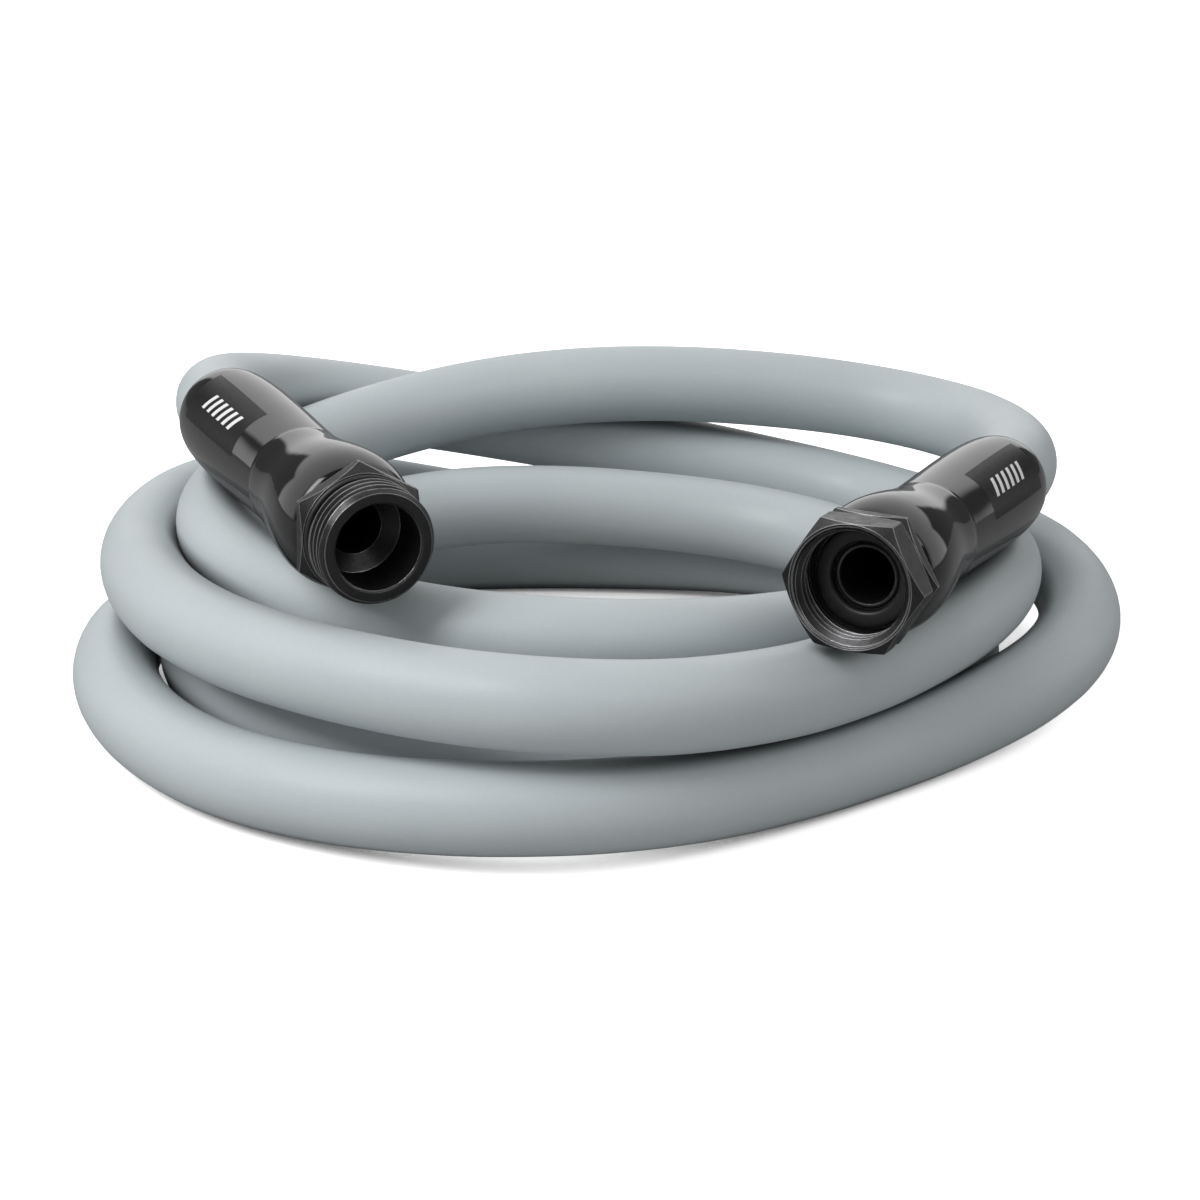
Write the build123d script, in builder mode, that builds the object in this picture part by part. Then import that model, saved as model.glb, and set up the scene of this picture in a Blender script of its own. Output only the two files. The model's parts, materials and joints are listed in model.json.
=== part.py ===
from build123d import *
from math import cos, radians, sin, tan
import os

# A short water hose, lying as a slack coil of four and a half turns, with a
# swivel nut on one end, a threaded fitting on the other, and a free-turning
# moulded grip behind each.  Millimetres.  The floor is z = 0, +Z is up, and the
# origin is the middle of the footprint.

os.makedirs("parts", exist_ok=True)

# ---------------------------------------------------------------- hose layers
hose_radius = 10.4
braid_outer = 9.3
braid_inner = 8.8
bore_radius = 7.95
layer_gap = 0.02

# ------------------------------------------- 3/4 - 11.5 garden hose thread
pitch = 25.4 / 11.5
thread_depth = 1.43
male_crest = 13.49
male_root = male_crest - thread_depth
female_root = 13.62
female_crest = female_root - thread_depth
crest_half_width = 0.14
flank_half_width = crest_half_width + thread_depth * tan(radians(30))

# --------------------- lengths along an end, measured back from its mouth
male_hex_front = 10.6
male_hex_back = 14.0
nut_hex_back = 12.1
nut_back = 14.8
washer_front = 9.3
washer_back = 11.4
flange_back = 13.3
end_length = 107.0

# -------------------------------------------------------------- wrench sizes
male_flats = 28.0
nut_flats = 29.0
chamfer_slope = tan(radians(40))

# ------------------------- grip and its bearing, lengths behind the grip lip
male_grip_lip = 14.3
female_grip_lip = 12.5
grip_length = 94.0
grip_mouth_radius = 13.25
retainer_place = 4.0
retainer_wire = 0.6
retainer_groove = 0.65
slip_ring_thickness = 0.8
collar_front = 5.55
collar_back = 7.35
seat_depth = 8.25
ferrule_end = 27.0
axial_gap = 0.05
running_gap = 0.08
collar_radius = grip_mouth_radius - running_gap
ferrule_radius = 12.3
neck_radius = 9.5
hose_start = collar_front + 1.3
tail_bore = hose_radius + 0.5

# ------------------------------------------------------------------ coil lay
# The coil's axis stands a little off the middle of the footprint.
coil_axis = Vector(-2.46, -0.39, 0)

# Centreline of the hose, from the nut end, at every eighth of a turn.  Each row
# is one turn, anticlockwise from the right: right, back right, back, back left,
# left, front left, front, front right, as (distance from the coil's axis,
# height).  The first and last places belong to the straight ends.
coil_lay = [
    [None, (129, 50), (91, 57), (90, 51), (95, 45), (81, 40), (73, 39), (65, 33)],
    [(74, 28), (77, 26), (64, 30), (68, 32), (97, 21), (94, 11), (75, 11), (69, 11)],
    [(90, 11), (93, 12), (84, 11), (99, 11), (118, 13), (119, 11), (108, 14), (91, 11)],
    [(119, 17), (138, 17), (110, 11), (125, 27), (114, 35), (109, 37), (111, 38), (88, 31)],
    [(99, 32), (117, 26), (102, 38), (113, 55), None],
]


class HoseEnd:
    """A straight end of the hose, its mouth placed from the coil's axis.  In the
    outlines, s is the distance back from the mouth and r the distance from the
    end's own axis."""

    def __init__(self, mouth, azimuth, tilt):
        level = cos(radians(tilt))
        self.mouth = coil_axis + Vector(*mouth)
        self.out = Vector(
            cos(radians(azimuth)) * level, sin(radians(azimuth)) * level, sin(radians(tilt))
        )
        self.axis = Axis(self.mouth, self.out)
        self.across = Vector(0, 0, 1).cross(self.out)
        self.section = Plane(origin=self.mouth, x_dir=-self.out, z_dir=self.across)

    def point(self, s):
        """Point on the end's axis."""
        return self.mouth - self.out * s

    def facing(self, s):
        """Plane square to the axis, with local X upward and Z out of the mouth."""
        return Plane(origin=self.point(s), x_dir=self.section.y_dir, z_dir=self.out)


male_end = HoseEnd(mouth=(-48.3, -89.8, 66.0), azimuth=-65.0, tilt=-1.5)
female_end = HoseEnd(mouth=(54.3, -89.6, 59.0), azimuth=-115.0, tilt=1.8)


def lay_points():
    """Centreline points of the coil between the two straight ends."""
    points = []
    for turn, places in enumerate(coil_lay):
        for eighth, place in enumerate(places):
            if place is None:
                continue
            reach, height = place
            angle = radians(360 * turn + 45 * eighth)
            points.append(coil_axis + Vector(reach * cos(angle), reach * sin(angle), height))
    return points


def turned(end, outline):
    """Solid of revolution about an end's axis from (s, r) points."""
    with BuildPart() as body:
        with BuildSketch(end.section):
            with BuildLine():
                Polyline(*outline, close=True)
            make_face()
        revolve(axis=end.axis)
    return body.part


def ridges(first, count, root, crest):
    """Outline of ring-shaped thread ridges, the first centred at s = first."""
    points = []
    for turn in range(count):
        middle = first + turn * pitch
        points += [
            (middle - flank_half_width, root),
            (middle - crest_half_width, crest),
            (middle + crest_half_width, crest),
            (middle + flank_half_width, root),
        ]
    return points


def ring(end, start, stop, inner, outer):
    """Plain ring between two places along an end."""
    return turned(end, [(start, inner), (start, outer), (stop, outer), (stop, inner)])


def wire_ring(end, place, mean_radius, wire_radius):
    """Ring of round section, such as an O-ring."""
    with BuildPart() as body:
        with BuildSketch(end.section):
            with Locations((place, mean_radius)):
                Circle(wire_radius)
        revolve(axis=end.axis)
    return body.part


# ------------------------------------------------------------------- the hose
male_lip = male_grip_lip
female_lip = female_grip_lip
hose_first = female_end.point(female_lip + hose_start)
hose_last = male_end.point(male_lip + hose_start)

with BuildLine() as centreline:
    Line(hose_first, female_end.point(end_length))
    Spline(
        female_end.point(end_length),
        *lay_points(),
        male_end.point(end_length),
        tangents=[-female_end.out, male_end.out],
        tangent_scalars=[1.0, 1.0],
    )
    Line(male_end.point(end_length), hose_last)


def hose_skin(radius):
    """Tubular surface about the whole centreline."""
    rim = Wire.make_circle(radius, female_end.facing(female_lip + hose_start))
    return Shell.sweep(rim, centreline.wires()[0], Transition.TRANSFORMED)


def cut_end(outer_skin, inner_skin, place):
    """Flat ring that closes a hose layer where the hose is cut off."""
    rims = []
    for skin in (outer_skin, inner_skin):
        nearest = skin.edges().filter_by(GeomType.CIRCLE).sort_by_distance(place)[0]
        rims.append(Wire([nearest]))
    return Face(rims[0], [rims[1]])


def hose_layer(inner, outer):
    """One layer of the hose wall: two skins closed by two cut ends."""
    outer_skin = hose_skin(outer)
    inner_skin = hose_skin(inner)
    ends = [cut_end(outer_skin, inner_skin, place) for place in (hose_first, hose_last)]
    with BuildPart() as layer:
        add(Solid(Shell([*outer_skin.faces(), *inner_skin.faces(), *ends])))
    return layer.part


hose_cover = hose_layer(braid_outer + layer_gap, hose_radius)
hose_braid = hose_layer(braid_inner + layer_gap, braid_outer)
hose_liner = hose_layer(bore_radius, braid_inner)


# ------------------------------------------------------- fittings: hose barbs
barb_radius = bore_radius - 0.03
barb_root = 7.3
barb_pitch = 4.0
barb_count = 4
barb_tip = 1.0
fitting_bore = 6.3
fitting_tail = ferrule_end - 3.0


def barb_outline(lip):
    """Outer outline of a fitting's neck and hose barbs, behind the grip lip."""
    neck_end = lip + hose_start - axial_gap
    points = [(neck_end, neck_radius)]
    for tooth in range(barb_count):
        start = neck_end + tooth * barb_pitch
        points += [(start, barb_root), (start + barb_tip, barb_radius)]
    points += [(lip + fitting_tail, barb_root)]
    return points


# ---------------------------------------------------------- threaded male end
male_bore = 9.95
male_bore_depth = 13.0
male_face_radius = 12.45
lead_in = 1.5
first_crest = 2.1
male_turns = 4
mouth_chamfer = 0.45
shoulder_length = 2.4
o_ring_wire = 0.75
o_ring_place = first_crest + (male_turns - 1) * pitch + flank_half_width + o_ring_wire + layer_gap
o_ring_recess = o_ring_place + o_ring_wire + layer_gap
recess_radius = male_flats / 2 - 0.3

with BuildPart() as male_stem:
    # hexagon with a corner upward, its front corners turned off and its front
    # face recessed for the O-ring
    with BuildSketch(male_end.facing(male_hex_back)):
        RegularPolygon(male_flats / 2, 6, major_radius=False, rotation=30)
    extrude(amount=male_hex_back - male_hex_front)
    with BuildSketch(male_end.section):
        with BuildLine():
            corner = male_flats / 2 / cos(radians(30)) + 0.5
            turned_face = male_flats / 2 - 0.15
            Polyline(
                (o_ring_recess, 0),
                (o_ring_recess, recess_radius),
                (male_hex_front, recess_radius),
                (male_hex_front, turned_face),
                (male_hex_front + (corner - turned_face) * chamfer_slope, corner),
                (male_hex_back, corner),
                (male_hex_back, 0),
                close=True,
            )
        make_face()
    revolve(axis=male_end.axis, mode=Mode.INTERSECT)
    # thread, O-ring groove, neck and barbs
    with BuildSketch(male_end.section):
        with BuildLine():
            Polyline(
                (0, 0),
                (0, male_face_radius),
                (lead_in, male_crest),
                (first_crest + crest_half_width, male_crest),
                (first_crest + flank_half_width, male_root),
                *ridges(first_crest + pitch, male_turns - 1, male_root, male_crest),
                (o_ring_recess + 0.5, male_root),
                (o_ring_recess + 0.5, neck_radius),
                *barb_outline(male_lip),
                (male_lip + fitting_tail, 0),
                close=True,
            )
        make_face()
    revolve(axis=male_end.axis)
    # waterway: wide mouth, coned shoulder, narrow bore
    with BuildSketch(male_end.section):
        with BuildLine():
            Polyline(
                (0, 0),
                (0, male_bore + mouth_chamfer),
                (mouth_chamfer, male_bore),
                (male_bore_depth, male_bore),
                (male_bore_depth + shoulder_length, fitting_bore),
                (male_lip + fitting_tail, fitting_bore),
                (male_lip + fitting_tail, 0),
                close=True,
            )
        make_face()
    revolve(axis=male_end.axis, mode=Mode.SUBTRACT)

male_o_ring = wire_ring(male_end, o_ring_place, male_root + o_ring_wire + layer_gap, o_ring_wire)


# ---------------------------------------------------------- swivel nut end
nut_mouth_radius = 14.2
nut_turns = 3
band_back = 8.3
second_band = 8.8
chamber_back = 10.6
nut_seat_radius = 11.9
flange_radius = nut_seat_radius - 0.1
swivel_gap = 0.06
mouth_bevel = 0.4
lip_front = washer_front + 1.6
tube_lip_radius = 7.7
nut_ring_wire = 0.45
nut_ring_place = (washer_back + flange_back) / 2

with BuildPart() as female_nut:
    # two hexagonal bands, corners to left and right, divided by a turned groove
    with BuildSketch(female_end.facing(nut_hex_back)):
        RegularPolygon(nut_flats / 2, 6, major_radius=False, rotation=0)
    extrude(amount=nut_hex_back)
    with BuildSketch(female_end.section):
        with BuildLine():
            corner = nut_flats / 2 / cos(radians(30)) + 0.3
            turned_face = nut_flats / 2 - 0.1
            bevel = (corner - turned_face) * chamfer_slope
            Polyline(
                (0, 0),
                (0, turned_face),
                (bevel, corner),
                (band_back - bevel / 2, corner),
                (band_back, turned_face),
                (band_back, turned_face - 0.2),
                (second_band, turned_face - 0.2),
                (second_band, turned_face),
                (second_band + bevel, corner),
                (nut_hex_back, corner),
                (nut_hex_back, 0),
                close=True,
            )
        make_face()
    revolve(axis=female_end.axis, mode=Mode.INTERSECT)
    # plain skirt that runs inside the grip's mouth
    with BuildSketch(female_end.facing(nut_back)):
        Circle(grip_mouth_radius - 0.3)
    extrude(amount=nut_back - nut_hex_back)
    # lead-in, thread, washer chamber, flange seat and rear lip
    with BuildSketch(female_end.section):
        with BuildLine():
            Polyline(
                (0, 0),
                (0, nut_mouth_radius),
                (mouth_bevel, nut_mouth_radius - mouth_bevel),
                (first_crest - crest_half_width, female_crest),
                (first_crest + crest_half_width, female_crest),
                (first_crest + flank_half_width, female_root),
                *ridges(first_crest + pitch, nut_turns - 1, female_root, female_crest),
                (chamber_back, female_root),
                (chamber_back, nut_seat_radius),
                (flange_back + axial_gap, nut_seat_radius),
                (flange_back + axial_gap, neck_radius + swivel_gap),
                (nut_back, neck_radius + swivel_gap),
                (nut_back, 0),
                close=True,
            )
        make_face()
    revolve(axis=female_end.axis, mode=Mode.SUBTRACT)

with BuildPart() as female_stem:
    # tube lip, flange with its O-ring groove, neck and barbs
    groove_radius = nut_seat_radius - 2 * nut_ring_wire - 0.05
    with BuildSketch(female_end.section):
        with BuildLine():
            Polyline(
                (lip_front, fitting_bore),
                (lip_front, tube_lip_radius - 0.6),
                (lip_front + 0.6, tube_lip_radius),
                (washer_back + axial_gap, tube_lip_radius),
                (washer_back + axial_gap, flange_radius),
                (nut_ring_place - nut_ring_wire - 0.05, flange_radius),
                (nut_ring_place - nut_ring_wire - 0.05, groove_radius),
                (nut_ring_place + nut_ring_wire + 0.05, groove_radius),
                (nut_ring_place + nut_ring_wire + 0.05, flange_radius),
                (flange_back, flange_radius),
                (flange_back, neck_radius),
                *barb_outline(female_lip),
                (female_lip + fitting_tail, fitting_bore),
                close=True,
            )
        make_face()
    revolve(axis=female_end.axis)

female_o_ring = wire_ring(
    female_end, nut_ring_place, groove_radius + nut_ring_wire + layer_gap, nut_ring_wire
)

washer_inner = 7.9
washer_outer = flange_radius
washer_round = 1.0

with BuildPart() as female_washer:
    with BuildSketch(female_end.section):
        with Locations(((washer_front + washer_back) / 2, (washer_inner + washer_outer) / 2)):
            RectangleRounded(
                washer_back - washer_front - axial_gap, washer_outer - washer_inner, washer_round
            )
    revolve(axis=female_end.axis)


# --------------------------------------------- ferrule, grip and its bearings
def ferrule(end, lip):
    """Crimped sleeve that clamps the hose on the barbs; its collar carries the grip."""
    back = lip + ferrule_end
    inside = hose_radius + layer_gap
    outline = [
        (lip + collar_front, neck_radius + layer_gap),
        (lip + collar_front, collar_radius),
        (lip + collar_back, collar_radius),
        (lip + collar_back, ferrule_radius),
    ]
    for crimp in range(4):
        start = lip + collar_back + 3.0 + crimp * barb_pitch
        outline += [
            (start, ferrule_radius),
            (start + 0.6, ferrule_radius - 0.5),
            (start + 2.0, ferrule_radius - 0.5),
            (start + 2.6, ferrule_radius),
        ]
    outline += [
        (back - 0.5, ferrule_radius),
        (back, ferrule_radius - 0.5),
        (back, inside),
        (lip + hose_start - axial_gap, inside),
        (lip + hose_start - axial_gap, neck_radius + layer_gap),
    ]
    return turned(end, outline)


def grip(end, lip):
    """Moulded grip: a rounded bell, a waist with a fine step, and a bulbous tail."""
    tail = lip + grip_length
    bearing = ferrule_radius + running_gap
    groove = lip + retainer_place
    with BuildPart() as body:
        with BuildSketch(end.section):
            with BuildLine():
                Polyline(
                    (lip + 36.2, 12.45),
                    (lip + 35.8, 12.65),
                )
                Spline(
                    (lip + 35.8, 12.65),
                    (lip + 27, 13.6),
                    (lip + 18, 15.1),
                    (lip + 9.5, 15.9),
                    (lip + 3.0, 15.2),
                    (lip, grip_mouth_radius + 0.4),
                    tangents=[(-1, 0.06), (-0.25, -1)],
                )
                Polyline(
                    (lip, grip_mouth_radius + 0.4),
                    (lip + 0.3, grip_mouth_radius),
                    (groove - retainer_groove, grip_mouth_radius),
                    (groove - retainer_groove, grip_mouth_radius + retainer_wire),
                    (groove + retainer_groove, grip_mouth_radius + retainer_wire),
                    (groove + retainer_groove, grip_mouth_radius),
                    (lip + seat_depth, grip_mouth_radius),
                    (lip + seat_depth, bearing),
                    (lip + ferrule_end + 0.5, bearing),
                    (lip + ferrule_end + 4.0, tail_bore),
                    (tail - 0.6, tail_bore),
                    (tail, tail_bore + 0.4),
                )
                Spline(
                    (tail, tail_bore + 0.4),
                    (tail - 5, 12.9),
                    (tail - 16, 13.5),
                    (lip + 58, 13.3),
                    (lip + 36.2, 12.45),
                    tangents=[(-0.25, 1), (-1, -0.03)],
                )
            make_face()
        revolve(axis=end.axis)
    return body.part


def retainer(end, lip):
    """Split wire ring that snaps into the grip in front of the ferrule's collar."""
    with BuildPart() as body:
        with BuildSketch(end.section):
            with Locations((lip + retainer_place, grip_mouth_radius - 0.02)):
                Circle(retainer_wire)
        revolve(axis=end.axis, revolution_arc=330)
    return body.part


def front_slip_ring(end, lip):
    """Plain ring between the retainer and the collar."""
    stop = lip + collar_front - axial_gap
    return ring(end, stop - slip_ring_thickness, stop, neck_radius + 0.5, collar_radius)


def rear_slip_ring(end, lip):
    """Plain ring between the collar and the grip's inner shoulder."""
    start = lip + collar_back + axial_gap
    return ring(end, start, start + slip_ring_thickness, ferrule_radius + running_gap, collar_radius)


pieces = {
    "hose_cover": hose_cover,
    "hose_braid": hose_braid,
    "hose_liner": hose_liner,
    "female_nut": female_nut.part,
    "female_washer": female_washer.part,
    "female_stem": female_stem.part,
    "female_o_ring": female_o_ring,
    "male_stem": male_stem.part,
    "male_o_ring": male_o_ring,
}
for side, end, lip in (("female", female_end, female_lip), ("male", male_end, male_lip)):
    pieces[side + "_ferrule"] = ferrule(end, lip)
    pieces[side + "_grip"] = grip(end, lip)
    pieces[side + "_grip_retainer"] = retainer(end, lip)
    pieces[side + "_slip_ring_front"] = front_slip_ring(end, lip)
    pieces[side + "_slip_ring_rear"] = rear_slip_ring(end, lip)

for name, piece in pieces.items():
    piece.label = name
    export_step(piece, "parts/" + name + ".step")
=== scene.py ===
import itertools
import json
import math

import bmesh
import bpy
import numpy as np
from mathutils import Matrix, Vector, noise


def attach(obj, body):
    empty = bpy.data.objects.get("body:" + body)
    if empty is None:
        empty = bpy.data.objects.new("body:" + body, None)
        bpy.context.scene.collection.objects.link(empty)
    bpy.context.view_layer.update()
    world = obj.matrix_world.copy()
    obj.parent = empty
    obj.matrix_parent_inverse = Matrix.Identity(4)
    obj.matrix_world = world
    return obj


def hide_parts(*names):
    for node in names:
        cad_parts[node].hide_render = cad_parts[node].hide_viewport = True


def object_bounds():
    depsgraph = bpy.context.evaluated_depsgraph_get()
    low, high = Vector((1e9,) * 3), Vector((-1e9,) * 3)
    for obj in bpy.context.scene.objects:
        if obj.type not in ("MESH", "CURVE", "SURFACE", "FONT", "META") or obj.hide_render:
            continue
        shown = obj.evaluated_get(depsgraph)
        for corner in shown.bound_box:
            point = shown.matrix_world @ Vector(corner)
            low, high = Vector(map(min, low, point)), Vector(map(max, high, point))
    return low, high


# Looks for the coiled water hose.  Lengths along a fitting are millimetres in
# the fitting's own terms, s back from its mouth and r from its axis, as in the
# CAD; every piece is then placed in metres on the axes that the frame's mounts
# give.

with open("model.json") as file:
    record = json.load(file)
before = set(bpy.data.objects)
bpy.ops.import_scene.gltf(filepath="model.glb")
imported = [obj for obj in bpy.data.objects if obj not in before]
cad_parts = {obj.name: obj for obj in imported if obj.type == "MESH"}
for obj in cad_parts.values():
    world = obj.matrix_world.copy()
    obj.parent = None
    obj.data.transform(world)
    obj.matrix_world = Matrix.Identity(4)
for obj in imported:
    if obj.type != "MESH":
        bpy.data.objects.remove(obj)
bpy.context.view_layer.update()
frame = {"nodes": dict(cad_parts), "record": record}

MM = 0.001
PITCH = 25.4 / 11.5
THREAD_DEPTH = 1.43
CREST_HALF = 0.14
FLANK_HALF = CREST_HALF + THREAD_DEPTH * math.tan(math.radians(30))
FIRST_CREST = 2.1
CHAMFER_SLOPE = math.tan(math.radians(40))
HOSE_RADIUS = 10.4
HOSE_INNER = 9.32
HOSE_START = 6.85
NECK_RADIUS = 9.5
BARB_ROOT = 7.3
FITTING_BORE = 6.3
FERRULE_END = 27.0
FITTING_TAIL = FERRULE_END - 3.0
RUNNING_GAP = 0.06


# ------------------------------------------------------------------ placement
class HoseEnd:
    """Axis of one end of the hose, taken from the mount on its mouth."""

    def __init__(self, mount_name, mount_middle, lip, body):
        mount = next(m for m in frame["record"]["mounts"] if m["name"] == mount_name)
        self.out = Vector(mount["axis"]).normalized()
        self.mouth = Vector(mount["pos_m"]) + self.out * mount_middle * MM
        self.across = Vector((0, 0, 1)).cross(self.out).normalized()
        self.up = self.out.cross(self.across).normalized()
        self.lip = lip
        self.body = body

    def at(self, s, r=0.0, angle=0.0):
        """Point s back from the mouth and r out from the axis; the angle is
        right-handed about the outward axis, from straight up."""
        side = self.up * math.cos(angle) + self.out.cross(self.up) * math.sin(angle)
        return self.mouth - self.out * s * MM + side * r * MM


MALE_TURNS = 4
NUT_TURNS = 3
male_last = FIRST_CREST + (MALE_TURNS - 1) * PITCH + CREST_HALF
nut_last = FIRST_CREST + (NUT_TURNS - 1) * PITCH + CREST_HALF
male = HoseEnd("male_thread", (1.5 + male_last) / 2, 14.3, "male_grip")
female = HoseEnd("female_thread", (FIRST_CREST - CREST_HALF + nut_last) / 2, 12.5, "female_grip")


def finish_piece(obj, body, replaced=(), sharp=32):
    """Common last steps of every new piece."""
    mesh = obj.data
    mesh.shade_smooth()
    mesh.set_sharp_from_angle(angle=math.radians(sharp))
    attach(obj, body)
    if replaced:
        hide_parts(*replaced)
    return obj


def mesh_object(name, points, faces):
    """Object from points in metres, cleaned of doubled points, facing outward."""
    mesh = bpy.data.meshes.new(name)
    mesh.from_pydata([tuple(p) for p in points], [], faces)
    work = bmesh.new()
    work.from_mesh(mesh)
    bmesh.ops.remove_doubles(work, verts=work.verts, dist=2e-6)
    bmesh.ops.dissolve_degenerate(work, edges=work.edges, dist=1e-6)
    bmesh.ops.recalc_face_normals(work, faces=work.faces)
    work.to_mesh(mesh)
    work.free()
    obj = bpy.data.objects.new(name, mesh)
    bpy.context.scene.collection.objects.link(obj)
    return obj


# ------------------------------------------------------------ turned surfaces
def turned(name, end, rows, angles):
    """Closed solid of revolution.  A row is (s, r), or a function of the angle
    that gives it, so that a row can follow a thread or a hexagon."""
    points = []
    for angle in angles:
        for row in rows:
            s, r = row(angle) if callable(row) else row
            points.append(end.at(s, r, angle))
    count = len(rows)
    faces = []
    for column in range(len(angles) - 1):
        for row in range(count):
            a = column * count + row
            b = column * count + (row + 1) % count
            faces.append((a, b, b + count, a + count))
    return mesh_object(name, points, faces)


def even_angles(columns):
    """Angles of a full turn, the first again at the end."""
    return [2 * math.pi * k / columns for k in range(columns + 1)]


def hex_angles(first_corner):
    """Angles crowded towards the six corners of a hexagon."""
    steps = [-0.6, 0.6, 1.5, 4, 8, 13, 19, 25, 30, 35, 41, 47, 52, 56, 58.5]
    degrees = [first_corner + 60 * side + step for side in range(6) for step in steps]
    degrees.append(degrees[0] + 360)
    return [math.radians(d) for d in degrees]


def hex_reach(angle, flats, first_corner):
    """Distance from the axis to a hexagon whose corners are just broken."""
    off_corner = (math.degrees(angle) - first_corner) % 60
    off_flat = abs(off_corner - 30)
    return flats / 2 / math.cos(math.radians(min(off_flat, 29.4)))


def rounded(outline, radius, closed=True):
    """Outline with each corner replaced by a short three-point arc."""
    result = []
    count = len(outline)
    for k, corner in enumerate(outline):
        if not closed and k in (0, count - 1):
            result.append(tuple(corner))
            continue
        here = Vector(corner)
        before = Vector(outline[k - 1]) - here
        after = Vector(outline[(k + 1) % count]) - here
        reach = min(radius, before.length * 0.45, after.length * 0.45)
        start = here + before.normalized() * reach
        stop = here + after.normalized() * reach
        middle = (start + stop) / 4 + here / 2
        result += [tuple(start), tuple(middle), tuple(stop)]
    return result


def curve_through(points, samples):
    """Smooth outline through a few points (centripetal Catmull-Rom)."""
    p = [Vector(q) for q in points]
    p = [p[0] * 2 - p[1]] + p + [p[-1] * 2 - p[-2]]
    result = []
    for k in range(1, len(p) - 2):
        knots = [0.0]
        for a, b in zip(p[k - 1:k + 3], p[k:k + 3]):
            knots.append(knots[-1] + (b - a).length ** 0.5)
        t0, t1, t2, t3 = knots
        for step in range(samples):
            t = t1 + (t2 - t1) * step / samples
            a1 = p[k - 1] * ((t1 - t) / (t1 - t0)) + p[k] * ((t - t0) / (t1 - t0))
            a2 = p[k] * ((t2 - t) / (t2 - t1)) + p[k + 1] * ((t - t1) / (t2 - t1))
            a3 = p[k + 1] * ((t3 - t) / (t3 - t2)) + p[k + 2] * ((t - t2) / (t3 - t2))
            b1 = a1 * ((t2 - t) / (t2 - t0)) + a2 * ((t - t0) / (t2 - t0))
            b2 = a2 * ((t3 - t) / (t3 - t1)) + a3 * ((t - t1) / (t3 - t1))
            result.append(tuple(b1 * ((t2 - t) / (t2 - t1)) + b2 * ((t - t1) / (t2 - t1))))
    result.append(tuple(p[-2]))
    return result


def thread_rows(turns, root, crest, limit):
    """Rows of a right-hand thread.  Each row climbs one pitch per turn, and the
    limit function holds the radius back at the lead-in and the run-out."""
    marks = [
        (-FLANK_HALF, root), (-FLANK_HALF * 0.62, None), (-CREST_HALF, crest), (CREST_HALF, crest),
        (FLANK_HALF * 0.62, None), (FLANK_HALF, root),
    ]
    rows = []
    for turn in range(-1, turns + 2):
        for offset, radius in marks:
            if radius is None:
                share = (FLANK_HALF - abs(offset)) / (FLANK_HALF - CREST_HALF)
                radius = root + (crest - root) * share
            rows.append(thread_row(turn, offset, radius, limit))
    return rows


def thread_row(turn, offset, radius, limit):
    """One line of the thread, which climbs a pitch as the angle goes once round."""
    def row(angle):
        s = FIRST_CREST + (turn + 0.5) * PITCH + offset - PITCH * angle / (2 * math.pi)
        return limit(s, radius)
    return row


def ramp(value, start, stop):
    """0 before start, 1 after stop, smooth between."""
    t = min(1.0, max(0.0, (value - start) / (stop - start)))
    return t * t * (3 - 2 * t)


# ------------------------------------------------------------------ the hose
class EdgeGrid:
    """Edges of a mesh sorted into cubes, to find the ones near a place quickly."""

    def __init__(self, mesh, cube):
        co = np.empty(len(mesh.vertices) * 3)
        mesh.vertices.foreach_get("co", co)
        pairs = np.empty(len(mesh.edges) * 2, dtype=np.int64)
        mesh.edges.foreach_get("vertices", pairs)
        ends = self.halved(co.reshape(-1, 3)[pairs.reshape(-1, 2)], 0.7 * cube)
        self.cube = cube
        keys = self.key(np.floor(ends.mean(axis=1) / cube))
        order = np.argsort(keys)
        self.keys = keys[order]
        self.ends = ends[order]

    def halved(self, ends, longest):
        """Edges cut in halves until none is longer than the limit."""
        long = np.linalg.norm(ends[:, 1] - ends[:, 0], axis=1) > longest
        if not long.any():
            return ends
        cut = ends[long]
        middle = cut.mean(axis=1)
        parts = (np.stack((cut[:, 0], middle), axis=1), np.stack((middle, cut[:, 1]), axis=1))
        return np.concatenate((ends[~long], self.halved(np.concatenate(parts), longest)))

    @staticmethod
    def key(cell):
        """One number for each cube, from its place along the three axes."""
        return cell @ np.array((1.0, 1e3, 1e6))

    def near(self, place):
        """Edges in the cube at a place and in the cubes around it."""
        home = np.floor(place / self.cube)
        found = []
        for offset in itertools.product((-1, 0, 1), repeat=3):
            key = self.key(home + offset)
            low, high = np.searchsorted(self.keys, (key - 0.5, key + 0.5))
            found.append(self.ends[low:high])
        return np.concatenate(found)


def trace_hose(node, start, heading, goal, step):
    """Middle of the CAD hose, section by section, from one cut end to the other."""
    radius = HOSE_RADIUS * MM
    grid = EdgeGrid(frame["nodes"][node].data, 1.4 * radius)
    goal = np.array(goal)
    heading = np.array(heading)
    line = [np.array(start)]
    bend = np.zeros(3)
    while np.linalg.norm(goal - line[-1]) > 1.3 * step and len(line) < 1000:
        ahead = heading + bend
        guess = line[-1] + ahead / np.linalg.norm(ahead) * step
        edges = grid.near(guess)
        for _ in range(3):
            guess = guess + section_shift(edges - guess, ahead, radius)
        ahead = guess - line[-1]
        ahead /= np.linalg.norm(ahead)
        bend = ahead - heading
        heading = ahead
        line.append(guess)
    line.append(goal)
    return np.array(line)


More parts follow.
